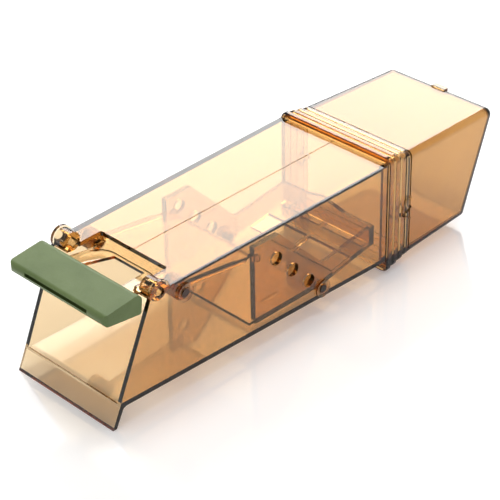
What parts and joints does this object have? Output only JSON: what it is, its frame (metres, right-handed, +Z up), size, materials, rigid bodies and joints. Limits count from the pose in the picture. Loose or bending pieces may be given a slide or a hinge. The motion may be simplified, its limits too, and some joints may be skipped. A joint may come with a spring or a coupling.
{
  "type": "live catch trap",
  "caption": "See-through amber live catch trap: slant-mouthed tunnel with a drop door and green lever grip, a see-saw pedal and a ribbed pull-off bait cup.",
  "frame": {"origin": "middle of the outline, on the surface that the trap stands on", "axes": "+X across the trap, +Y from the mouth to the bait cup, +Z up"},
  "size_m": [0.0706, 0.2498, 0.0623],
  "materials": {
    "tunnel_plastic": "clear amber moulded plastic, polished",
    "cup_plastic": "clear amber moulded plastic, polished",
    "door_plastic": "clear amber moulded plastic, polished",
    "pedal_plastic": "clear amber moulded plastic, polished",
    "pin_plastic": "darker clear amber plastic",
    "grip_plastic": "soft matte leaf green"
  },
  "bodies": {
    "tunnel": {"tunnel": "tunnel_plastic"},
    "door": {"door": "door_plastic", "door_pin_left": "pin_plastic", "door_pin_right": "pin_plastic", "grip": "grip_plastic"},
    "pedal": {"pedal": "pedal_plastic", "pedal_pin_left": "pin_plastic", "pedal_pin_right": "pin_plastic"},
    "cup": {"bait_cup": "cup_plastic"}
  },
  "joints": [
    {"name": "door_swing", "type": "hinge", "parent": "tunnel", "child": "door", "pos_m": [0, -0.08145, 0.0501], "axis": [-1, 0, 0], "range_deg": [-3, 50]},
    {"name": "pedal_tilt", "type": "hinge", "parent": "tunnel", "child": "pedal", "pos_m": [0, 0.00215, 0.0124], "axis": [-1, 0, 0], "range_deg": [0, 6]},
    {"name": "cup_slide", "type": "slide", "parent": "tunnel", "child": "cup", "axis": [0, 1, 0], "range_m": [0, 0.045]}
  ]
}
